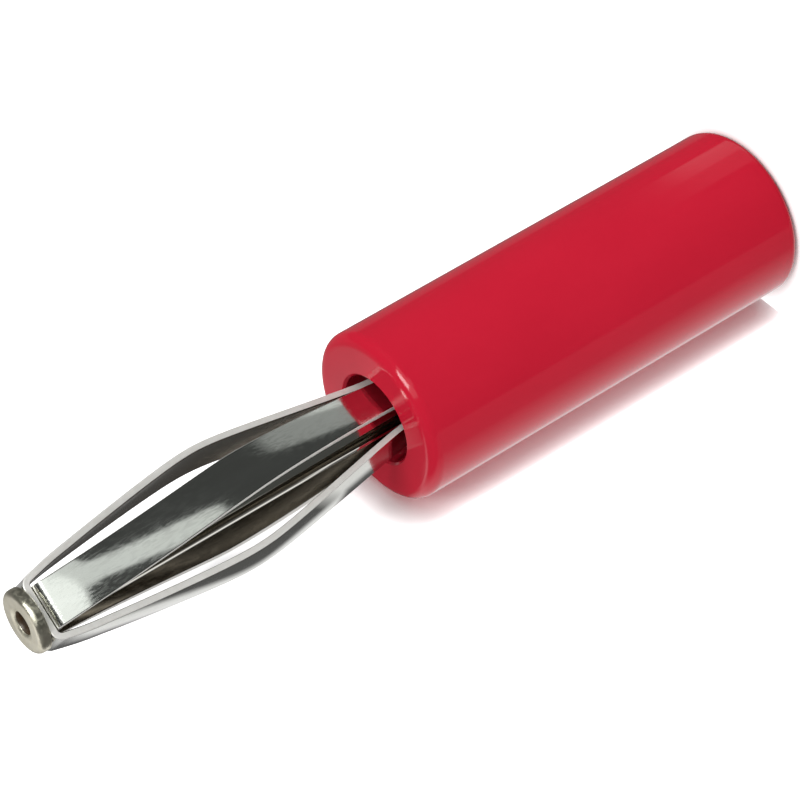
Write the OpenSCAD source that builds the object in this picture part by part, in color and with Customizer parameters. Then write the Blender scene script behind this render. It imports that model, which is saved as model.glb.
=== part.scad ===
// Banana plug for a 4 mm socket. It stands on the rear face of its sleeve, with the tip up.
// Millimetres, +Z along the plug's axis, origin at the middle of the rear face.

/* [Sleeve] */
// Length of the insulating sleeve
sleeve_len = 20; // [17:0.1:26]
// Diameter of the sleeve at its front
sleeve_front_d = 7.44; // [7.2:0.02:10]
// Diameter of the sleeve at its rear
sleeve_rear_d = 7.54; // [7.2:0.02:10]
// Rounding of the front edge
front_edge_r = 0.5; // [0.2:0.05:0.9]
// Rounding of the rear edge
rear_edge_r = 0.4; // [0.2:0.05:0.7]
// Diameter of the cable entry in the rear
cable_bore_d = 5; // [4.6:0.1:5.4]
// Bevel at the mouth of the cable entry
cable_mouth_bevel = 0.3; // [0.1:0.05:0.4]
// Diameter of the chamber around the solder barrel
chamber_d = 4.4; // [4:0.1:4.5]
// Length of the chamber below the solder barrel
chamber_room = 0.5; // [0.2:0.1:1]
// Bevel at the mouth of the front bore
front_mouth_bevel = 0.1; // [0.05:0.05:0.3]
// Thickness of the rib on which the contact seats
seat_rib = 1.5; // [1:0.1:2.5]

/* [Contact body] */
// Outer diameter of the threaded shank
shank_d = 3.8; // [3.7:0.1:4.6]
// Length of the shank with its cup
shank_len = 6.4; // [6:0.1:8]
// Depth of the shank's front below the sleeve's front face
shank_recess = 1.4; // [0.5:0.1:2]
// Inner diameter of the cup that takes the leaf ends
cup_bore_d = 3.3; // [3.2:0.05:3.4]
// Depth of the cup
cup_depth = 2; // [1.6:0.1:2.4]
// Outer diameter of the solder barrel
barrel_d = 3; // [2.8:0.1:3.2]
// Length of the solder barrel
barrel_len = 7.5; // [6.5:0.1:8.5]
// Diameter of the wire bore
wire_bore_d = 2; // [1.6:0.1:2.2]
// Depth of the wire bore
wire_bore_depth = 6; // [5:0.1:6.4]
// Length over which half of the barrel is cut away for solder
solder_cut_len = 2.6; // [1.5:0.1:3.5]

/* [Spindle] */
// Diameter of the spindle
spindle_d = 1.5; // [1.3:0.05:1.7]
// Depth to which the spindle is pressed into the contact body
spindle_seat = 3; // [2:0.1:3.5]
// Diameter of the neck that passes through the springs' hubs
neck_d = 1.1; // [1:0.05:1.2]
// Diameter of the riveted head
head_d = 2.7; // [2.4:0.05:3.1]
// Height of the riveted head
head_h = 0.5; // [0.45:0.01:0.8]
// Rounding of the head's rim
head_edge_r = 0.24; // [0.1:0.02:0.4]
// Diameter of the hollow in the riveted end
hollow_d = 0.9; // [0.4:0.05:0.9]
// Depth of the hollow
hollow_depth = 0.4; // [0.1:0.02:0.6]

/* [Springs] */
// Distance of the springs' front from the sleeve's front face
pin_reach = 16.5; // [14:0.02:20]
// Width of a spring from its belly to its hub
leaf_w = 1.9; // [1.5:0.05:2]
// Thickness of a spring
leaf_t = 0.3; // [0.2:0.01:0.36]
// Width of a leaf at its rear end, to which it narrows from the belly
tab_w = 1.4; // [1:0.05:1.5]
// Distance across opposite leaves at their belly
belly_d = 5.16; // [4.4:0.02:5.6]
// Distance of the belly from the sleeve's front face
belly_at = 7.4; // [6:0.1:9]
// Softness of the bend at the belly
belly_soft = 0.42; // [0.1:0.02:0.6]
// Distance across opposite leaves where the nose begins
nose_d = 3.5; // [3.3:0.05:3.8]
// Length of the nose, in which the leaves run in to the hub
nose_len = 1.6; // [1.2:0.05:2.2]
// Softness of the bend where the nose begins
nose_soft = 0.1; // [0.05:0.01:0.2]
// Outer radius of the fold between nose and hub
fold_r = 0.45; // [0.4:0.01:0.55]
// Length by which the flat hub passes the edges of the spring that crosses it
hub_room = 0.03; // [0.03:0.01:0.08]
// Distance across opposite leaves at the sleeve's front face
root_d = 3.04; // [2.8:0.02:3.1]
// Softness of the bend where a leaf turns into its tab
root_soft = 0.1; // [0.05:0.01:0.2]
// Turn of the leaves about the axis between the hub and the sleeve
spring_twist = 24; // [0:1:30]
// Turn of both springs at their hubs
spring_turn = 5; // [0:1:89]

/* [Fits] */
// Radial clearance of the shank in the sleeve
shank_clear = 0.05; // [0.02:0.01:0.1]
// Radial clearance of the solder barrel in the seat rib
barrel_clear = 0.15; // [0.1:0.01:0.25]
// Radial clearance of the spindle in the contact body
spindle_clear = 0.01; // [0.01:0.005:0.03]
// Radial clearance of the neck in the springs' hubs
neck_clear = 0.03; // [0.01:0.01:0.06]
// Radial clearance of the leaf ends in the cup
tab_clear = 0.05; // [0.03:0.01:0.1]
// Room behind the leaf ends, for the leaves to lengthen as they flatten
tab_room = 0.3; // [0.2:0.05:0.5]

/* [Hidden] */
$fn = 64;
// Overrun of a cutting tool past the face that it cuts
overrun = 0.1;
// Steps of an arc, of a leaf's bowed length and of the bend at its tab
arc_steps = 8;
leaf_steps = 44;
tab_steps = 8;

// Heights on the axis, from the rear face up
z_front = sleeve_len;
z_rim = z_front - shank_recess;
z_cup_floor = z_rim - cup_depth;
z_seat = z_rim - shank_len;
z_rib = z_seat - seat_rib;
z_barrel = z_seat - barrel_len;
z_chamber = z_barrel - chamber_room;
z_spindle = z_cup_floor - spindle_seat;
z_hub = z_front + pin_reach;
z_shoulder = z_hub - 2 * leaf_t;
z_belly = z_front + belly_at;
z_tab = z_cup_floor + tab_room;

// Radii to the outer face of a leaf along its length
root_r = root_d / 2;
belly_peak_r = belly_d / 2 + belly_soft / 2;
tab_r = sqrt(pow(cup_bore_d / 2 - tab_clear, 2) - pow(tab_w / 2, 2));
// Half the length of a flat hub, and the lean of the nose, whose line touches the fold's arc
hub_half = leaf_w / 2 + hub_room;
nose_run = [nose_d / 2 - hub_half, fold_r - nose_len];
nose_lean = atan2(nose_run[1], nose_run[0]) + acos(fold_r / norm(nose_run));

plastic_red = [0.78, 0.12, 0.18];
nickel = [0.8, 0.8, 0.77];
brass_nickel = [0.82, 0.78, 0.66];

function soft_min(a, b, k) = (a + b - sqrt(pow(a - b, 2) + k * k)) / 2;
function soft_max(a, b, k) = (a + b + sqrt(pow(a - b, 2) + k * k)) / 2;
function mix(a, b, t) = a + (b - a) * t;
function unit(t) = max(0, min(1, t));
function arc(centre, r, from, to) =
    [for (i = [0 : arc_steps]) let (a = mix(from, to, i / arc_steps)) centre + r * [cos(a), sin(a)]];

// Heights at which the nose and the fold begin, for a spring whose hub has its front face at height top
function z_nose(top) = top - nose_len;
function z_fold(top) = top - fold_r * (1 - sin(nose_lean));

// Outer radius, slope, width and turn of a leaf at height z
function rear_flank(z) = mix(root_r, belly_peak_r, (z - z_front) / (z_belly - z_front));
function front_flank(z, top) = mix(nose_d / 2, belly_peak_r, (z_nose(top) - z) / (z_nose(top) - z_belly));
function nose_flank(z, top) = nose_d / 2 - (z - z_nose(top)) * tan(nose_lean);
function bow_r(z, top) = soft_min(soft_max(tab_r, rear_flank(z), root_soft), front_flank(z, top), belly_soft);
function leaf_r(z, top) = soft_min(bow_r(z, top), nose_flank(z, top), nose_soft);
function leaf_slope(z, top) = let (h = 0.01) (leaf_r(z + h, top) - leaf_r(z - h, top)) / (2 * h);
function leaf_half_w(z) = mix(tab_w, leaf_w, unit((z - z_rim) / (z_belly - z_rim))) / 2;
function leaf_turn(z, top) = spring_twist * unit((z_fold(top) - z) / (z_fold(top) - z_front));

// Stations along a leaf from the hub to the tab: [outer radius, height, lean of the outer face]
function fold_axis_r(top) = leaf_r(z_fold(top), top) - fold_r * cos(nose_lean);
function leaf_path(top) = concat(
    [[fold_axis_r(top) - overrun, top, 90]],
    [for (i = [0 : arc_steps - 1]) let (a = mix(90, nose_lean, i / arc_steps))
        [fold_axis_r(top) + fold_r * cos(a), top - fold_r + fold_r * sin(a), a]],
    [for (i = [0 : leaf_steps - 1]) bowed_station(mix(z_fold(top), z_front, i / leaf_steps), top)],
    [for (i = [0 : tab_steps]) bowed_station(mix(z_front, z_tab, i / tab_steps), top)]);
function bowed_station(z, top) = [leaf_r(z, top), z, -atan(leaf_slope(z, top))];

// The four corners of a leaf's section at one station
function leaf_section(s, top) =
    let (inner_r = s[0] - leaf_t * cos(s[2]), inner_z = s[1] - leaf_t * sin(s[2]))
    let (w = leaf_half_w(s[1]), a = leaf_turn(s[1], top))
    let (out = [cos(a), sin(a), 0], side = [-sin(a), cos(a), 0])
    [out * s[0] + side * w + [0, 0, s[1]],
     out * s[0] - side * w + [0, 0, s[1]],
     out * inner_r - side * w + [0, 0, inner_z],
     out * inner_r + side * w + [0, 0, inner_z]];

// A strip through a list of four-cornered sections
module strip(sections) {
    last = len(sections) - 1;
    walls = [for (i = [0 : last - 1], j = [0 : 3]) let (k = (j + 1) % 4)
        each [[4 * i + k, 4 * i + j, 4 * i + 4 + j], [4 * i + 4 + k, 4 * i + k, 4 * i + 4 + j]]];
    ends = [[0, 1, 2, 3], [for (j = [3 : -1 : 0]) 4 * last + j]];
    polyhedron([for (s = sections) each s], concat(walls, ends));
}

// Tapered tube of moulded plastic with rounded ends, bored from both ends to the rib that seats the contact
module insulating_sleeve() {
    front_r = sleeve_front_d / 2;
    rear_r = sleeve_rear_d / 2;
    front_bore_d = shank_d + 2 * shank_clear;
    color(plastic_red)
    difference() {
        rotate_extrude()
            polygon(concat(
                [[0, 0]],
                arc([rear_r - rear_edge_r, rear_edge_r], rear_edge_r, -90, 0),
                arc([front_r - front_edge_r, z_front - front_edge_r], front_edge_r, 0, 90),
                [[0, z_front]]));
        translate([0, 0, -overrun])
            cylinder(d = cable_bore_d, h = z_chamber + overrun);
        cylinder(d = chamber_d, h = z_rib);
        translate([0, 0, -overrun])
            cylinder(d1 = cable_bore_d + 2 * (cable_mouth_bevel + overrun), d2 = cable_bore_d,
                     h = cable_mouth_bevel + overrun);
        cylinder(d = barrel_d + 2 * barrel_clear, h = z_front);
        translate([0, 0, z_seat])
            cylinder(d = front_bore_d, h = z_front - z_seat + overrun);
        translate([0, 0, z_front - front_mouth_bevel])
            cylinder(d1 = front_bore_d, d2 = front_bore_d + 2 * (front_mouth_bevel + overrun),
                     h = front_mouth_bevel + overrun);
    }
}

// Turned body: cup and shank at the front, solder barrel with its wire bore at the rear
module contact_body() {
    color(nickel)
    difference() {
        union() {
            translate([0, 0, z_seat])
                cylinder(d = shank_d, h = shank_len);
            translate([0, 0, z_barrel])
                cylinder(d = barrel_d, h = barrel_len + overrun);
        }
        translate([0, 0, z_cup_floor])
            cylinder(d = cup_bore_d, h = cup_depth + overrun);
        translate([0, 0, z_spindle])
            cylinder(d = spindle_d + 2 * spindle_clear, h = spindle_seat + overrun);
        translate([0, 0, z_barrel - overrun])
            cylinder(d = wire_bore_d, h = wire_bore_depth + overrun);
        translate([-barrel_d, -barrel_d, z_barrel - overrun])
            cube([2 * barrel_d, barrel_d, solder_cut_len + overrun]);
    }
}

// Core rod with a thinner neck in the springs' hubs, and a hollow end riveted over them into a head
module spindle() {
    head_r = head_d / 2;
    color(brass_nickel)
    difference() {
        union() {
            translate([0, 0, z_spindle])
                cylinder(d = spindle_d, h = z_shoulder - z_spindle);
            translate([0, 0, z_shoulder - overrun])
                cylinder(d = neck_d, h = z_hub - z_shoulder + 2 * overrun);
            translate([0, 0, z_hub])
                rotate_extrude()
                    polygon(concat(
                        [[0, 0], [head_r, 0]],
                        arc([head_r - head_edge_r, head_h - head_edge_r], head_edge_r, 0, 90),
                        [[0, head_h]]));
        }
        translate([0, 0, z_hub + head_h - hollow_depth])
            cylinder(d = hollow_d, h = hollow_depth + overrun);
    }
}

// Strip bent to a hairpin: a flat hub on the neck, and two leaves folded back and bowed, with tabs in the cup
module hairpin(top) {
    reach = fold_axis_r(top);
    difference() {
        union() {
            translate([-reach, -leaf_w / 2, top - leaf_t])
                cube([2 * reach, leaf_w, leaf_t]);
            for (i = [0, 1])
                rotate(i * 180)
                    strip([for (s = leaf_path(top)) leaf_section(s, top)]);
        }
        translate([0, 0, top - leaf_t - overrun])
            cylinder(d = neck_d + 2 * neck_clear, h = leaf_t + 2 * overrun);
    }
}

// Spring under the head
module outer_spring() {
    color(nickel)
    rotate(spring_turn)
        hairpin(z_hub);
}

// Spring that lies crosswise under the outer one
module inner_spring() {
    color(nickel)
    rotate(spring_turn + 90)
        hairpin(z_hub - leaf_t);
}

insulating_sleeve();
contact_body();
spindle();
outer_spring();
inner_spring();
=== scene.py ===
import math

import bmesh
import bpy
from mathutils import Matrix, Vector


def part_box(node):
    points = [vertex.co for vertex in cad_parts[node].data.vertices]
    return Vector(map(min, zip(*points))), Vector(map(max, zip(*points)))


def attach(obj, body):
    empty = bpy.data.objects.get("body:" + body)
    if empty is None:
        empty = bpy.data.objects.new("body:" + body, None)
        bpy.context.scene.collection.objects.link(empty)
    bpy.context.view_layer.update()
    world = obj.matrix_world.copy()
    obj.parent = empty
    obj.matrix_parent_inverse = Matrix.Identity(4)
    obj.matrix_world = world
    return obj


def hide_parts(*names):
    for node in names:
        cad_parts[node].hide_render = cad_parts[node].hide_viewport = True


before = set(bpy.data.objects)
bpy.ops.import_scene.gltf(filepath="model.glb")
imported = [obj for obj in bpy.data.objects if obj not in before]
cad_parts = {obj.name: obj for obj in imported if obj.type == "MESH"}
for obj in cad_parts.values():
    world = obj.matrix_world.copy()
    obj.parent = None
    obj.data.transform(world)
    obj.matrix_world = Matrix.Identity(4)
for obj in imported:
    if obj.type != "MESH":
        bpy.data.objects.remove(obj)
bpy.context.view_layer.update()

# Camera
# The photograph looks down on the plug from beside its tip through a long lens, turned so that
# the tip points to the lower left. It is set by the middle of the sleeve's front face.
mm = 0.001
image_px = 800
front_face_px = Vector((374.4, 419.9))
front_face_px_per_mm = 25.05
view_distance = 120 * mm
view_starts = 10 * mm
axis_to_view = math.radians(63.3)
axis_below_level = math.radians(30)
sensor_mm = 36
sleeve_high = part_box("insulating_sleeve")[1]
z_front = sleeve_high.z

view_right = Vector((1, 0, 0))
view_back = Vector((0, -math.sin(axis_to_view), math.cos(axis_to_view)))
unrolled = Matrix((view_right, view_back.cross(view_right), view_back)).transposed()
rolled = unrolled @ Matrix.Rotation(-math.pi / 2 - axis_below_level, 3, "Z")
offset_px = front_face_px - Vector((image_px / 2, image_px / 2))
in_view = Vector((offset_px.x, -offset_px.y, 0)) / front_face_px_per_mm * mm
camera_place = Vector((0, 0, z_front)) + rolled @ (Vector((0, 0, view_distance)) - in_view)


def placed(name, data):
    """A new object in the scene."""
    thing = bpy.data.objects.new(name, data)
    bpy.context.collection.objects.link(thing)
    return thing


lens = bpy.data.cameras.new("photo_lens")
lens.sensor_width = sensor_mm
lens.lens = sensor_mm * front_face_px_per_mm * view_distance / mm / image_px
lens.clip_start = view_starts
camera = placed("photo_camera", lens)
camera.matrix_world = Matrix.Translation(camera_place) @ rolled.to_4x4()
bpy.context.scene.camera = camera

# Insulating sleeve
# A straight tube of glossy red plastic with rounded ends, moulded a trace wider at the rear. Its
# front bore has a fine thread for the contact, a rib seats it, and the cable enters from the rear.
contact_low, contact_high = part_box("contact_body")
sleeve_front_r = 3.72 * mm
sleeve_rear_r = sleeve_high.x
front_edge_r = 0.5 * mm
rear_edge_r = 0.4 * mm
shank_r = contact_high.x
shank_len = 6.4 * mm
shank_play = 0.05 * mm
front_bore_r = shank_r + shank_play
front_mouth_bevel = 0.1 * mm
z_rim = contact_high.z
z_seat = z_rim - shank_len
seat_rib = 1.5 * mm
barrel_r = 1.5 * mm
barrel_play = 0.15 * mm
rib_hole_r = barrel_r + barrel_play
chamber_r = 2.2 * mm
z_barrel = contact_low.z
barrel_room = 0.5 * mm
z_chamber = z_barrel - barrel_room
cable_r = 2.5 * mm
cable_mouth_bevel = 0.3 * mm
mould_edge_r = 0.06 * mm
thread_pitch = 0.5 * mm
thread_depth = 0.13 * mm
thread_rows_per_turn = 8
sleeve_steps = 144
hair = 0.001 * mm
red_plastic = (0.575, 0.012, 0.035, 1)
red_plastic_deep = (0.51, 0.01, 0.029, 1)
plastic_cloud_size = 2.6
plastic_stretch = (1, 1, 0.5)
plastic_rough = (0.06, 0.12)
plastic_peel = 0.003 * mm
plastic_peel_strength = 0.5
plastic_specular = 0.35


def filleted(corners, closed):
    """A path of (r, z) points through corners (r, z, fillet radius), with an arc at each fillet."""
    arc_steps = 7
    hold = 0.02 * mm
    path = []
    for i, (r, z, fillet) in enumerate(corners):
        here = Vector((r, z))
        if fillet == 0 or not closed and i in (0, len(corners) - 1):
            path.append(here)
            continue
        back = (Vector(corners[i - 1][:2]) - here).normalized()
        ahead = (Vector(corners[(i + 1) % len(corners)][:2]) - here).normalized()
        half = back.angle(ahead) / 2
        centre = here + (back + ahead).normalized() * fillet / math.sin(half)
        start = here + back * fillet / math.tan(half)
        end = here + ahead * fillet / math.tan(half)
        sweep = (end - centre).angle_signed(start - centre)
        path.append(start + back * hold)
        for k in range(arc_steps + 1):
            path.append(centre + Matrix.Rotation(sweep * k / arc_steps, 2) @ (start - centre))
        path.append(end + ahead * hold)
    return path


def turned(path, steps, closed, shaped=None, cut_away=None):
    """A mesh of revolution about Z, and its rings of vertices.

    shaped(r, z, angle) gives a point its new radius, and cut_away(z, angle) leaves faces out.
    """
    mesh = bmesh.new()
    rings = []
    for r, z in path:
        if r < hair:
            rings.append([mesh.verts.new((0, 0, z))] * steps)
            continue
        ring = []
        for j in range(steps):
            angle = 2 * math.pi * j / steps
            radius = shaped(r, z, angle) if shaped else r
            ring.append(mesh.verts.new((radius * math.cos(angle), radius * math.sin(angle), z)))
        rings.append(ring)
    for i in range(len(rings) if closed else len(rings) - 1):
        after = (i + 1) % len(rings)
        lower, upper = rings[i], rings[after]
        middle = (path[i].y + path[after].y) / 2
        for j in range(steps):
            if cut_away and cut_away(middle, 2 * math.pi * (j + 0.5) / steps):
                continue
            k = (j + 1) % steps
            corners = list(dict.fromkeys((lower[j], lower[k], upper[k], upper[j])))
            mesh.faces.new(corners)
    return mesh, rings


def kept_mesh(name, mesh):
    """Mesh data made of a bmesh, which is freed."""
    data = bpy.data.meshes.new(name)
    mesh.to_mesh(data)
    mesh.free()
    return data


def finished_piece(name, mesh, body, node):
    """A piece made of a bmesh, smooth up to its sharp edges, that stands for a CAD node."""
    sharp_angle = math.radians(35)
    bmesh.ops.recalc_face_normals(mesh, faces=mesh.faces)
    for face in mesh.faces:
        face.smooth = True
    for edge in mesh.edges:
        edge.smooth = len(edge.link_faces) != 2 or edge.calc_face_angle() < sharp_angle
    piece = placed(name, kept_mesh(name, mesh))
    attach(piece, body)
    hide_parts(node)
    return piece


def thread_rows(r, z_from, z_to):
    """Corners of a straight wall with enough rows to carry a thread."""
    count = round(abs(z_to - z_from) / thread_pitch * thread_rows_per_turn)
    return [(r, z_from + (z_to - z_from) * i / count, 0) for i in range(count + 1)]


def thread_cut(z, angle, z_from, z_to):
    """Depth of a right-hand thread at a place on the wall, fading over the last turn at both ends."""
    turn = (z / thread_pitch - angle / (2 * math.pi)) % 1
    fade = min(1, max(0, (z - z_from) / thread_pitch), max(0, (z_to - z) / thread_pitch))
    return thread_depth * fade * (1 - abs(2 * turn - 1))


def sleeve_bore(r, z, angle):
    """Cuts the thread into the wall of the front bore."""
    if abs(r - front_bore_r) > hair:
        return r
    return r + thread_cut(z, angle, z_seat + thread_pitch, z_rim)


sleeve_corners = [
    (sleeve_rear_r, 0, rear_edge_r),
    (sleeve_front_r, z_front, front_edge_r),
    (front_bore_r + front_mouth_bevel, z_front, mould_edge_r),
    (front_bore_r, z_front - front_mouth_bevel, mould_edge_r),
    *thread_rows(front_bore_r, z_rim, z_seat + thread_pitch),
    (front_bore_r, z_seat, mould_edge_r),
    (rib_hole_r, z_seat, mould_edge_r),
    (rib_hole_r, z_seat - seat_rib, mould_edge_r),
    (chamber_r, z_seat - seat_rib, mould_edge_r),
    (chamber_r, z_chamber, mould_edge_r),
    (cable_r, z_chamber, mould_edge_r),
    (cable_r, cable_mouth_bevel, mould_edge_r),
    (cable_r + cable_mouth_bevel, 0, mould_edge_r),
]
sleeve_mesh, _ = turned(filleted(sleeve_corners, True), sleeve_steps, True, sleeve_bore)
sleeve = finished_piece("moulded_sleeve", sleeve_mesh, "sleeve", "insulating_sleeve")


def new_node(tree, kind, *in_order, operation=None, **by_name):
    """Adds a shader node and sets or links its inputs, in order or by name with _ for a space."""
    node = tree.nodes.new("ShaderNode" + kind)
    if operation:
        node.operation = operation
    named = [(node.inputs[name.replace("_", " ")], value) for name, value in by_name.items()]
    for socket, value in [*zip(node.inputs, in_order), *named]:
        if isinstance(value, bpy.types.NodeSocket):
            tree.links.new(value, socket)
        else:
            socket.default_value = value
    return node


def maths(tree, operation, *values):
    """The output of a sum on numbers and sockets."""
    return new_node(tree, "Math", *values, operation=operation).outputs[0]


def ramp(tree, value, span, levels):
    """A value taken from a span to two levels, and held at its ends."""
    return new_node(tree, "MapRange", value, *span, *levels).outputs["Result"]


def mixed_colours(tree, factor, colour_a, colour_b):
    """The output of a mix of two colours."""
    node = new_node(tree, "Mix", factor)
    node.data_type = "RGBA"
    colours = [socket for socket in node.inputs if socket.type == "RGBA"]
    colours[0].default_value = colour_a
    colours[1].default_value = colour_b
    return next(socket for socket in node.outputs if socket.type == "RGBA")


def bare_material(name):
    """A material whose node tree is still empty."""
    material = bpy.data.materials.new(name)
    material.use_nodes = True
    material.node_tree.nodes.clear()
    return material, material.node_tree


def new_finish(name):
    """A material with only its output and its Principled shader."""
    material, tree = bare_material(name)
    shader = new_node(tree, "BsdfPrincipled")
    new_node(tree, "OutputMaterial", Surface=shader.outputs["BSDF"])
    return material, tree, shader


def mottle_group():
    """Soft cloudy unevenness and fine hairline marks over a surface, at sizes in millimetres."""
    cloud_detail = 3
    hairs_per_mm = 5
    hair_detail = 2
    hair_wander = 0.4
    hair_band = (0.5, 0.56)
    group = bpy.data.node_groups.new("handled_surface", "ShaderNodeTree")
    face = group.interface
    face.new_socket("Cloud Size", in_out="INPUT", socket_type="NodeSocketFloat").default_value = 3
    face.new_socket("Stretch", in_out="INPUT", socket_type="NodeSocketVector").default_value = (1, 1, 1)
    face.new_socket("Clouds", in_out="OUTPUT", socket_type="NodeSocketFloat")
    face.new_socket("Hairlines", in_out="OUTPUT", socket_type="NodeSocketFloat")
    ins = group.nodes.new("NodeGroupInput").outputs
    outs = group.nodes.new("NodeGroupOutput").inputs
    place = new_node(group, "TexCoord").outputs["Object"]
    in_mm = new_node(group, "VectorMath", place, (1 / mm, 1 / mm, 1 / mm), operation="MULTIPLY")
    drawn_out = new_node(group, "VectorMath", in_mm.outputs[0], ins["Stretch"], operation="MULTIPLY")
    where = drawn_out.outputs[0]
    per_mm = maths(group, "DIVIDE", 1, ins["Cloud Size"])
    clouds = new_node(group, "TexNoise", Vector=where, Scale=per_mm, Detail=cloud_detail)
    hairs = new_node(
        group, "TexNoise", Vector=where, Scale=hairs_per_mm, Detail=hair_detail, Distortion=hair_wander)
    group.links.new(clouds.outputs["Fac"], outs["Clouds"])
    group.links.new(ramp(group, hairs.outputs["Fac"], hair_band, (0, 1)), outs["Hairlines"])
    return group


handled_surface = mottle_group()


def place_group(tree, group, **inputs):
    """Places a node group in a material with its own values."""
    node = tree.nodes.new("ShaderNodeGroup")
    node.node_tree = group
    for name, value in inputs.items():
        node.inputs[name.replace("_", " ")].default_value = value
    return node.outputs


def red_plastic_finish():
    """Glossy moulded plastic: tint and gloss drift in soft clouds, and its skin waves a little."""
    finish, tree, shader = new_finish("glossy_red_plastic")
    marks = place_group(tree, handled_surface, Cloud_Size=plastic_cloud_size, Stretch=plastic_stretch)
    clouds = marks["Clouds"]
    tint = mixed_colours(tree, clouds, red_plastic_deep, red_plastic)
    peel = new_node(tree, "Bump", Height=clouds, Strength=plastic_peel_strength, Distance=plastic_peel)
    tree.links.new(tint, shader.inputs["Base Color"])
    tree.links.new(ramp(tree, clouds, (0, 1), plastic_rough), shader.inputs["Roughness"])
    tree.links.new(peel.outputs["Normal"], shader.inputs["Normal"])
    shader.inputs["Specular IOR Level"].default_value = plastic_specular
    return finish


sleeve.data.materials.append(red_plastic_finish())

# Contact body
# Turned from brass bar and nickel plated: a threaded shank with a cup for the leaf ends in front,
# and a solder barrel at the rear, milled open on one side. It screws into the sleeve to its rib.
cup_r = 1.65 * mm
cup_depth = 2 * mm
spindle_r = 0.75 * mm
spindle_seat = 3 * mm
wire_r = 1 * mm
wire_depth = 6 * mm
solder_cut_len = 2.6 * mm
turned_edge_r = 0.08 * mm
wall_edge_r = 0.05 * mm
contact_steps = 96
z_cup_floor = z_rim - cup_depth
z_spindle = z_cup_floor - spindle_seat
z_cut = z_barrel + solder_cut_len
z_wire = z_barrel + wire_depth
nickel_plate = (0.66, 0.64, 0.58, 1)
nickel_plate_dull = (0.55, 0.52, 0.45, 1)
lathe_marks = {"cloud_size": 1.5, "stretch": (0.2, 0.2, 4), "rough": (0.16, 0.3), "wave": 0.004 * mm}


def shank_thread(r, z, angle):
    """Cuts the thread into the outside of the shank, up to the cup's floor."""
    if abs(r - shank_r) > hair:
        return r
    return r - thread_cut(z, angle, z_seat + thread_pitch / 2, z_cup_floor)


def open_half(z, angle):
    """The half of the solder barrel's end that is milled away."""
    return z < z_cut and angle > math.pi


contact_corners = [
    (0, z_wire, 0),
    (wire_r, z_wire, turned_edge_r),
    (wire_r, z_cut, 0),
    (wire_r, z_barrel, wall_edge_r),
    (barrel_r, z_barrel, turned_edge_r),
    (barrel_r, z_cut, 0),
    (barrel_r, z_seat, turned_edge_r),
    (shank_r, z_seat, turned_edge_r),
    *thread_rows(shank_r, z_seat + thread_pitch / 2, z_cup_floor),
    (shank_r, z_rim, turned_edge_r),
    (cup_r, z_rim, turned_edge_r),
    (cup_r, z_cup_floor, turned_edge_r),
    (spindle_r, z_cup_floor, wall_edge_r),
    (spindle_r, z_spindle, wall_edge_r),
    (0, z_spindle, 0),
]
contact_path = filleted(contact_corners, False)
contact_mesh, contact_rings = turned(contact_path, contact_steps, False, shank_thread, open_half)
cut_rings = [ring for ring, at in zip(contact_rings, contact_path) if at.x > 0 and at.y <= z_cut + hair]
half_round = contact_steps // 2
for column in (0, half_round):
    contact_mesh.faces.new([ring[column] for ring in cut_rings])
inner_edge, outer_edge = cut_rings[0], cut_rings[-1]
for j in range(half_round, contact_steps):
    k = (j + 1) % contact_steps
    contact_mesh.faces.new((inner_edge[j], inner_edge[k], outer_edge[k], outer_edge[j]))
contact = finished_piece("turned_contact", contact_mesh, "contact", "contact_body")


def plated_finish(name, bright, dull, cloud_size, stretch, rough, wave, metallic=1):
    """Plated metal: its tint drifts in soft clouds, and fine working marks break up its gloss."""
    finish, tree, shader = new_finish(name)
    marks = place_group(tree, handled_surface, Cloud_Size=cloud_size, Stretch=stretch)
    tint = mixed_colours(tree, marks["Clouds"], dull, bright)
    bump = new_node(tree, "Bump", Height=marks["Clouds"], Strength=1, Distance=wave)
    tree.links.new(tint, shader.inputs["Base Color"])
    tree.links.new(ramp(tree, marks["Hairlines"], (0, 1), rough), shader.inputs["Roughness"])
    tree.links.new(bump.outputs["Normal"], shader.inputs["Normal"])
    shader.inputs["Metallic"].default_value = metallic
    return finish


contact.data.materials.append(
    plated_finish("turned_nickel", nickel_plate, nickel_plate_dull, **lathe_marks))

# Spindle
# A drawn brass rod, thinly plated, pressed into the contact body. Its hollow far end passes through
# the hubs of both springs and is rolled out over them into a round head.
head_r = 1.35 * mm
z_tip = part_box("spindle")[1].z
z_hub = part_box("outer_spring")[1].z
leaf_t = 0.3 * mm
z_shoulder = z_hub - 2 * leaf_t
neck_r = 0.55 * mm
head_edge_r = 0.24 * mm
hollow_r = 0.45 * mm
hollow_depth = 0.4 * mm
rolled_lip_r = 0.28 * mm
# Reach of the painted shade in the hollow and on the inside of the rolled lip.
painted_shade_r = hollow_r + rolled_lip_r / 2
z_painted_shade = z_tip - rolled_lip_r / 3
spindle_steps = 96
rod_metal = (0.82, 0.8, 0.74, 1)
rod_metal_dull = (0.7, 0.67, 0.6, 1)
rod_marks = {"cloud_size": 2, "stretch": (3, 3, 0.3), "rough": (0.08, 0.12), "wave": 0.002 * mm}
head_metal = (0.86, 0.82, 0.68, 1)
head_metal_dull = (0.66, 0.61, 0.48, 1)
head_marks = {"cloud_size": 0.35, "stretch": (1, 1, 1), "rough": (0.3, 0.45), "wave": 0.02 * mm}
# The hollow and the inside of its rolled lip are painted near-black brown and matt: painted shade in the
# recess.
hollow_shade_brown = (0.1, 0.055, 0.02, 1)
hollow_shade_brown_dark = (0.035, 0.022, 0.012, 1)
hollow_marks = {"cloud_size": 0.3, "stretch": (1, 1, 1), "rough": (0.4, 0.6), "wave": 0.01 * mm}
hollow_shade_metallic = 0

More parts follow.
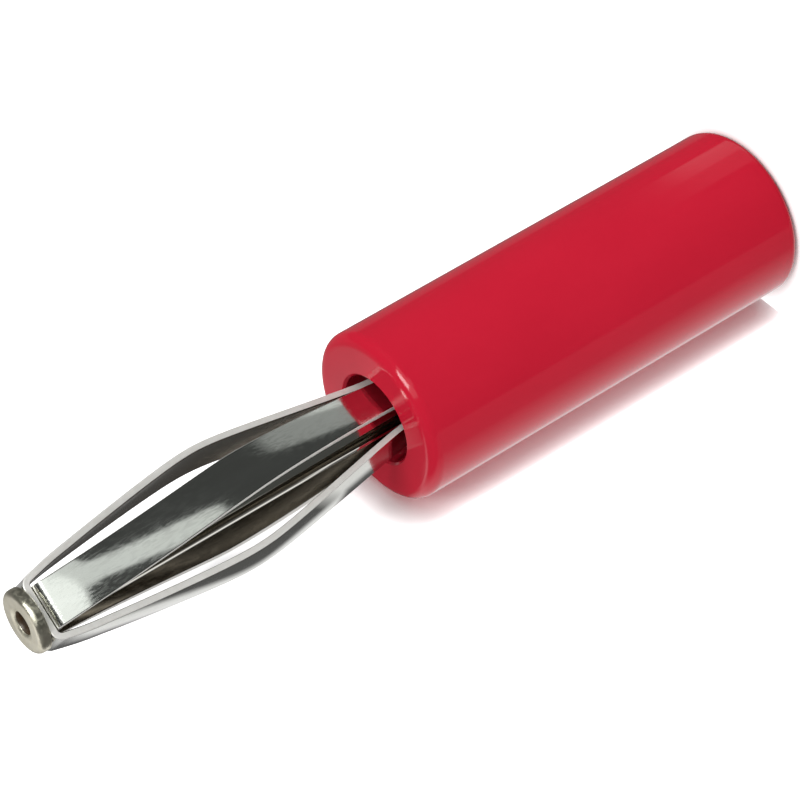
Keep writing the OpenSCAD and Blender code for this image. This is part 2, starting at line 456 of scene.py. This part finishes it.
spindle_corners = [
    (0, z_spindle, 0),
    (spindle_r, z_spindle, turned_edge_r),
    (spindle_r, z_shoulder, wall_edge_r),
    (neck_r, z_shoulder, 0),
    (neck_r, z_hub, 0),
    (head_r, z_hub, wall_edge_r),
    (head_r, z_tip, head_edge_r),
    (hollow_r, z_tip, rolled_lip_r),
    (hollow_r, z_tip - hollow_depth, wall_edge_r),
    (0, z_tip - hollow_depth, 0),
]
spindle_mesh, _ = turned(filleted(spindle_corners, False), spindle_steps, False)
spindle = finished_piece("riveted_spindle", spindle_mesh, "contact", "spindle")
spindle_finishes = [
    plated_finish("drawn_rod", rod_metal, rod_metal_dull, **rod_marks),
    plated_finish("rolled_head", head_metal, head_metal_dull, **head_marks),
    plated_finish(
        "hollow_painted_shade", hollow_shade_brown, hollow_shade_brown_dark, **hollow_marks, metallic=hollow_shade_metallic),
]
on_rod, on_head, in_hollow = range(len(spindle_finishes))
for finish in spindle_finishes:
    spindle.data.materials.append(finish)
# Faces in the hollow and on the inside of the rolled lip take the painted shade.
for face in spindle.data.polygons:
    in_painted_shade = math.hypot(face.center.x, face.center.y) < painted_shade_r and face.center.z < z_painted_shade
    if face.center.z <= z_hub:
        face.material_index = on_rod
    else:
        face.material_index = in_hollow if in_painted_shade else on_head

# Springs
# Two strips of nickel-plated spring metal, each stamped and bent to a hairpin. They cross at the
# tip, where the spindle's head clamps their flat hubs. The leaves bow out to press on a socket,
# and their ends are loose in the cup.
leaf_w = 1.9 * mm
tab_w = 1.4 * mm
tab_play = 0.05 * mm
leaf_crown = 0.06 * mm
leaf_crown_run = 2 * mm
hub_hole_play = 0.03 * mm
hub_hole_r = neck_r + hub_hole_play
hub_room = 0.03 * mm
hub_half = leaf_w / 2 + hub_room
belly_r = 2.58 * mm
z_belly = z_front + 7.4 * mm
belly_soft = 0.42 * mm
nose_r = 1.75 * mm
nose_len = 1.6 * mm
nose_soft = 0.1 * mm
fold_r = 0.45 * mm
root_r = 1.52 * mm
root_soft = 0.1 * mm
z_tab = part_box("outer_spring")[0].z
spring_turn = math.radians(5)
spring_twist = math.radians(24)
across_steps = 8
hub_rings = 4
fold_steps = 10
bow_steps = 90
tab_steps = 12
slope_step = 0.01 * mm
stamped_edge_r = 0.06 * mm
stamped_edge_steps = 3
stamped_edge_angle = math.radians(50)
spring_nickel = (0.68, 0.68, 0.65, 1)
spring_nickel_dull = (0.57, 0.57, 0.53, 1)
strip_marks = {"cloud_size": 2.4, "stretch": (3, 3, 0.3), "rough": (0.09, 0.15), "wave": 0.002 * mm}
# The leaves' inner faces are the same nickel as their outer faces, painted darker as painted shade between
# the leaves.
inside_nickel_painted_shade = (0.36, 0.33, 0.28, 1)
inside_nickel_painted_shade_dull = (0.25, 0.22, 0.18, 1)
inside_marks = {**strip_marks, "rough": (0.14, 0.22)}
# The sheared edges are rougher than the faces, as a real matt shear. Their lighter colour and part-matt share
# are a painted highlight along the edges.
sheared_nickel_painted_highlight = (0.86, 0.85, 0.82, 1)
sheared_nickel_painted_highlight_dull = (0.7, 0.68, 0.64, 1)
sheared_marks = {"cloud_size": 1, "stretch": (3, 3, 3), "rough": (0.4, 0.5), "wave": 0.002 * mm}
sheared_painted_highlight_metallic = 0.3

belly_peak_r = belly_r + belly_soft / 2
tab_r = math.sqrt((cup_r - tab_play) ** 2 - (tab_w / 2) ** 2)
nose_run = Vector((nose_r - hub_half, fold_r - nose_len))
nose_lean = math.atan2(nose_run.y, nose_run.x) + math.acos(fold_r / nose_run.length)


def between(a, b, t):
    """The value at a share t of the way from a to b."""
    return a + (b - a) * t


def unit(t):
    """A share held between 0 and 1."""
    return max(0, min(1, t))


def soft_min(a, b, softness):
    """The lower of two values, rounded over where they cross."""
    return (a + b - math.hypot(a - b, softness)) / 2


def fold_end(top):
    """Height at which a hairpin's fold passes into its straight nose."""
    return top - fold_r * (1 - math.sin(nose_lean))


def leaf_radius(z, top):
    """Distance of a leaf's outer face from the axis: tab, rear flank, front flank and nose."""
    z_nose = top - nose_len
    rear = between(root_r, belly_peak_r, (z - z_front) / (z_belly - z_front))
    front = between(nose_r, belly_peak_r, (z_nose - z) / (z_nose - z_belly))
    nose = nose_r - (z - z_nose) * math.tan(nose_lean)
    rear = (tab_r + rear + math.hypot(tab_r - rear, root_soft)) / 2
    return soft_min(soft_min(rear, front, belly_soft), nose, nose_soft)


def leaf_station(r, z, z_fold, lean, crown):
    """Points across a leaf's outer face at one place along it."""
    half_w = between(tab_w, leaf_w, unit((z - z_rim) / (z_belly - z_rim))) / 2
    turn = spring_twist * unit((z_fold - z) / (z_fold - z_front))
    out = Vector((math.cos(turn), math.sin(turn), 0))
    side = Vector((-math.sin(turn), math.cos(turn), 0))
    face_normal = out * math.cos(lean) + Vector((0, 0, math.sin(lean)))
    points = []
    for j in range(across_steps + 1):
        t = 2 * j / across_steps - 1
        points.append(out * r + side * half_w * t + Vector((0, 0, z)) - face_normal * crown * t * t)
    return points


def leaf_stations(top, reach):
    """Stations along a leaf, from its flat hub over the fold, nose and bow to the end of its tab."""
    z_fold = fold_end(top)
    stations = []
    for i in range(fold_steps):
        lean = between(math.pi / 2, nose_lean, i / fold_steps)
        r = reach + fold_r * math.cos(lean)
        z = top - fold_r * (1 - math.sin(lean))
        stations.append(leaf_station(r, z, z_fold, lean, 0))
    heights = [between(z_fold, z_front, i / bow_steps) for i in range(bow_steps)]
    heights += [between(z_front, z_tab, i / tab_steps) for i in range(tab_steps + 1)]
    for z in heights:
        rise = leaf_radius(z + slope_step, top) - leaf_radius(z - slope_step, top)
        lean = -math.atan(rise / (2 * slope_step))
        crown = leaf_crown * unit((z_fold - z) / leaf_crown_run)
        stations.append(leaf_station(leaf_radius(z, top), z, z_fold, lean, crown))
    return stations


def holed_hub(mesh, top, reach):
    """The flat hub between a hairpin's two folds, about its hole. Gives the points round its edge."""
    half_w = leaf_w / 2
    corners = [(reach, -half_w), (reach, half_w), (-reach, half_w), (-reach, -half_w)]
    rim = []
    for (x0, y0), (x1, y1) in zip(corners, corners[1:] + corners[:1]):
        for j in range(across_steps):
            t = j / across_steps
            rim.append(Vector((between(x0, x1, t), between(y0, y1, t), 0)))
    rings = []
    for i in range(hub_rings + 1):
        points = [(edge.normalized() * hub_hole_r).lerp(edge, i / hub_rings) for edge in rim]
        rings.append([mesh.verts.new(point + Vector((0, 0, top))) for point in points])
    for inner, outer in zip(rings, rings[1:]):
        for j in range(len(rim)):
            k = (j + 1) % len(rim)
            mesh.faces.new((inner[j], outer[j], outer[k], inner[k]))
    return rings[-1]


def hairpin(name, node, top, turn, finishes):
    """One spring as a sheet from tab to tab, given its thickness and its stamped edges."""
    mesh = bmesh.new()
    z_fold = fold_end(top)
    reach = leaf_radius(z_fold, top) - fold_r * math.cos(nose_lean)
    hub_edge = holed_hub(mesh, top, reach)
    for i in range(2):
        to_side = Matrix.Rotation(math.pi * i, 3, "Z")
        row = [hub_edge[2 * i * across_steps + j] for j in range(across_steps + 1)]
        for station in leaf_stations(top, reach)[1:]:
            next_row = [mesh.verts.new(to_side @ point) for point in station]
            for j in range(across_steps):
                mesh.faces.new((row[j], next_row[j], next_row[j + 1], row[j + 1]))
            row = next_row
    bmesh.ops.rotate(mesh, verts=mesh.verts, matrix=Matrix.Rotation(turn, 3, "Z"))
    spring = finished_piece(name, mesh, "contact", node)
    strip = spring.modifiers.new("strip_thickness", "SOLIDIFY")
    strip.thickness = leaf_t
    strip.offset = -1
    strip.use_even_offset = True
    # The inner faces take the painted-shade finish, and the cut rims take the edge finish with its painted
    # highlight.
    strip.material_offset = 1
    strip.material_offset_rim = 2
    stamped_edge = spring.modifiers.new("stamped_edge", "BEVEL")
    stamped_edge.width = stamped_edge_r
    stamped_edge.segments = stamped_edge_steps
    stamped_edge.limit_method = "ANGLE"
    stamped_edge.angle_limit = stamped_edge_angle
    stamped_edge.harden_normals = True
    for finish in finishes:
        spring.data.materials.append(finish)


strip_finishes = [
    plated_finish("spring_strip_nickel", spring_nickel, spring_nickel_dull, **strip_marks),
    plated_finish("spring_strip_inside_painted_shade", inside_nickel_painted_shade, inside_nickel_painted_shade_dull, **inside_marks),
    plated_finish(
        "spring_strip_edge_painted_highlight", sheared_nickel_painted_highlight, sheared_nickel_painted_highlight_dull, **sheared_marks, metallic=sheared_painted_highlight_metallic),
]
hairpin("outer_leaves", "outer_spring", z_hub, spring_turn, strip_finishes)
hairpin("inner_leaves", "inner_spring", z_hub - leaf_t, spring_turn + math.pi / 2, strip_finishes)

# Stage and light
# A pale floor under the plug, and a white card against the sleeve's side that stands for the
# table the plug lay on. Their white fades close to the plug as a painted contact shadow. Two soft
# lamps and an even surround light them. Gloss sees a painted pool of light and painted shadow on
# the card, and a dim room with pale panels on the camera's side, painted reflections that light nothing.
table_side = Vector((-0.614, 0.789, 0)).normalized()
floor_size = 600 * mm
card_size = 400 * mm
paper_white = 0.9
paper_lift = 0.75
# Gloss sees a painted image on the card: a painted pool of light about the plug, dimmer away from it, and
# painted shadow in bands beside the sleeve and the pin.
card_painted_glow = 1
card_painted_glow_far = 0.3
card_painted_glow_reach = (5 * mm, 11 * mm)
card_painted_glow_past = 0.6
card_painted_glow_fade_span = (1.5 * mm, 4.5 * mm)
card_shade = 0.12
shade_edge = 0.8 * mm
sleeve_shade = (-1.6 * mm, 4.5 * mm)
pin_shade = (-0.1 * mm, 3.6 * mm)
shade_steps = ((21 * mm, 22.5 * mm), (24 * mm, 25.5 * mm))
shade_fade = (36 * mm, 40 * mm)
dark_near = (-2.2 * mm, -1.6 * mm)
# Painted contact shadow: how close to a piece the paper's white starts to fade, and how steeply.
card_painted_contact_shadow = {"close_to": 1.3 * mm, "depth": 4}
floor_painted_contact_shadow = {"close_to": 0.7 * mm, "depth": 1.5}
lamps = {
    "front_lamp": {"from": Vector((0.3, -0.5, 0.81)), "level": 0.32, "spread": math.radians(20)},
    "side_lamp": {"from": Vector((0.9, -0.35, 0.25)), "level": 0.13, "spread": math.radians(40)},
}
surround_level = 0.75
white = (1, 1, 1, 1)
room_middle = Vector((0, 0, 20 * mm))
# Panels seen only in gloss, which light nothing: painted reflections, with the key panel a painted highlight
# on rounded edges.
room_panels = {
    "dim_room": {"turn": (-143.5, 39.5), "rise": (-90, 90), "r": 190 * mm, "level": 0.07},
    "tall_painted_reflection": {"turn": (-79, -67), "rise": (-8, 8), "r": 180 * mm, "level": 0.9},
    "high_painted_reflection": {"turn": (-92, -48), "rise": (8, 56), "r": 180 * mm, "level": 1.4},
    "key_painted_highlight": {"turn": (-76, -48), "rise": (30, 54), "r": 170 * mm, "level": 12},
    "low_panel": {"turn": (-44, -20), "rise": (-60, -37), "r": 180 * mm, "level": 0.4},
    "low_side_panel": {"turn": (-20, 5), "rise": (-60, -37), "r": 180 * mm, "level": 0.8},
}
panel_tint = (0.95, 1, 0.98, 1)
panel_steps = 24


def seen_rays(tree):
    """1 for rays that show the background: to the camera, in gloss and through clear pieces."""
    path = new_node(tree, "LightPath").outputs
    direct = maths(tree, "MAXIMUM", path["Is Camera Ray"], path["Is Glossy Ray"])
    return maths(tree, "MAXIMUM", direct, path["Is Transmission Ray"])


def paper(name, close_to, depth):
    """Matt paper that shows as white and keeps shadows. Its white also fades by ambient occlusion where a
    piece comes close: a painted contact shadow.
    """
    material, tree, shader = new_finish(name)
    shader.inputs["Base Color"].default_value = (paper_white, paper_white, paper_white, 1)
    shader.inputs["Roughness"].default_value = 1
    shader.inputs["Specular IOR Level"].default_value = 0
    shader.inputs["Emission Color"].default_value = white
    unoccluded = new_node(tree, "AmbientOcclusion", Distance=close_to).outputs["AO"]
    painted_contact_dimming = maths(tree, "POWER", unoccluded, depth)
    lift = maths(tree, "MULTIPLY", painted_contact_dimming, paper_lift)
    shown = maths(tree, "MULTIPLY", seen_rays(tree), lift)
    tree.links.new(shown, shader.inputs["Emission Strength"])
    return material, tree, shader


def card_paper():
    """Paper that is clear from behind. Gloss sees a painted image on it: a painted pool of light about the
    plug, and painted shadow close to it beside the sleeve and the pin.
    """
    material, tree, shader = paper("card_paper", **card_painted_contact_shadow)
    on_card = new_node(tree, "SeparateXYZ", new_node(tree, "TexCoord").outputs["Object"]).outputs
    across, along = on_card["X"], on_card["Y"]
    # Painted shadow: bands beside the sleeve and the pin, seen only in gloss.
    past_edges = []
    for step, beside_sleeve, beside_pin in zip(shade_steps, sleeve_shade, pin_shade):
        edge = ramp(tree, along, step, (beside_sleeve, beside_pin))
        past_edges.append(maths(tree, "SUBTRACT", across, edge))
    past_first = ramp(tree, past_edges[0], (-shade_edge, 0), (0, 1))
    before_last = ramp(tree, past_edges[1], (0, shade_edge), (1, 0))
    in_band = maths(tree, "MULTIPLY", past_first, before_last)
    shade = maths(tree, "MULTIPLY", in_band, ramp(tree, along, shade_fade, (1, 0)))
    past_sleeve = ramp(tree, along, shade_steps[0], (0, 1))
    near_pin = maths(tree, "MULTIPLY", ramp(tree, across, dark_near, (1, 0)), past_sleeve)
    dark = maths(tree, "MAXIMUM", shade, near_pin)
    # Painted pool of light about the plug, dimmer past it.
    from_axis = maths(tree, "ABSOLUTE", across)
    painted_lit = ramp(tree, from_axis, card_painted_glow_reach, (card_painted_glow, card_painted_glow_far))
    past_plug = ramp(tree, across, card_painted_glow_fade_span, (1, card_painted_glow_past))
    level = ramp(tree, dark, (0, 1), (maths(tree, "MULTIPLY", painted_lit, past_plug), card_shade))
    painted_image = new_node(tree, "Emission", Color=white, Strength=level)
    in_gloss = new_node(tree, "LightPath").outputs["Is Glossy Ray"]
    front = new_node(tree, "MixShader", in_gloss, shader.outputs[0], painted_image.outputs[0])
    behind = new_node(tree, "NewGeometry").outputs["Backfacing"]
    clear = new_node(tree, "BsdfTransparent")
    either = new_node(tree, "MixShader", behind, front.outputs[0], clear.outputs[0])
    end = next(node for node in tree.nodes if node.type == "OUTPUT_MATERIAL")
    tree.links.new(either.outputs[0], end.inputs["Surface"])
    return material


def stage_sheet(name, size, place, facing, material):
    """A flat square of the stage."""
    data = bpy.data.meshes.new(name)
    half = size / 2
    corners = [(-half, -half, 0), (half, -half, 0), (half, half, 0), (-half, half, 0)]
    data.from_pydata(corners, [], [(0, 1, 2, 3)])
    data.materials.append(material)
    sheet = placed(name, data)
    sheet.matrix_world = Matrix.Translation(place) @ facing.to_track_quat("Z", "Y").to_matrix().to_4x4()
    return sheet


def room_panel(name, turn, rise, r, level):
    """A piece of the round room about the plug, between two bearings and two heights in degrees, seen only in
    gloss: a painted reflection that lights nothing.
    """
    mesh = bmesh.new()
    rows = []
    for i in range(panel_steps + 1):
        up = math.radians(between(*rise, i / panel_steps))
        row = []
        for j in range(panel_steps + 1):
            round_to = math.radians(between(*turn, j / panel_steps))
            flat = Vector((math.cos(round_to), math.sin(round_to), 0)) * math.cos(up)
            row.append(mesh.verts.new((flat + Vector((0, 0, math.sin(up)))) * r + room_middle))
        rows.append(row)
    for row, next_row in zip(rows, rows[1:]):
        for j in range(panel_steps):
            mesh.faces.new((row[j], row[j + 1], next_row[j + 1], next_row[j]))
    reflection_material, tree = bare_material(name + "_reflection_glow")
    glow = new_node(tree, "Emission", Color=panel_tint, Strength=level)
    new_node(tree, "OutputMaterial", Surface=glow.outputs[0])
    panel = placed(name, kept_mesh(name, mesh))
    panel.data.materials.append(reflection_material)
    panel.visible_camera = False
    panel.visible_diffuse = False
    panel.visible_transmission = False
    panel.visible_volume_scatter = False
    panel.visible_shadow = False


floor_paper = paper("floor_paper", **floor_painted_contact_shadow)[0]
floor = stage_sheet("floor", floor_size, Vector((0, 0, 0)), Vector((0, 0, 1)), floor_paper)
floor.visible_glossy = False
floor.visible_shadow = False
card = stage_sheet("table_card", card_size, table_side * sleeve_rear_r, -table_side, card_paper())
card.visible_diffuse = False
card.visible_shadow = False

for name, panel in room_panels.items():
    room_panel(name, **panel)

for name, lamp in lamps.items():
    light = bpy.data.lights.new(name, "SUN")
    light.energy = lamp["level"] * math.pi
    light.angle = lamp["spread"]
    lamp_head = placed(name, light)
    lamp_head.rotation_mode = "QUATERNION"
    lamp_head.rotation_quaternion = lamp["from"].to_track_quat("Z", "Y")

surround = bpy.data.worlds.new("even_surround")
surround.use_nodes = True
surround_tree = surround.node_tree
surround_tree.nodes.clear()
surround_shown = ramp(surround_tree, seen_rays(surround_tree), (0, 1), (surround_level, 1))
sky = new_node(surround_tree, "Background", Color=white, Strength=surround_shown)
new_node(surround_tree, "OutputWorld", Surface=sky.outputs["Background"])
bpy.context.scene.world = surround
bpy.context.scene.view_settings.view_transform = "Standard"
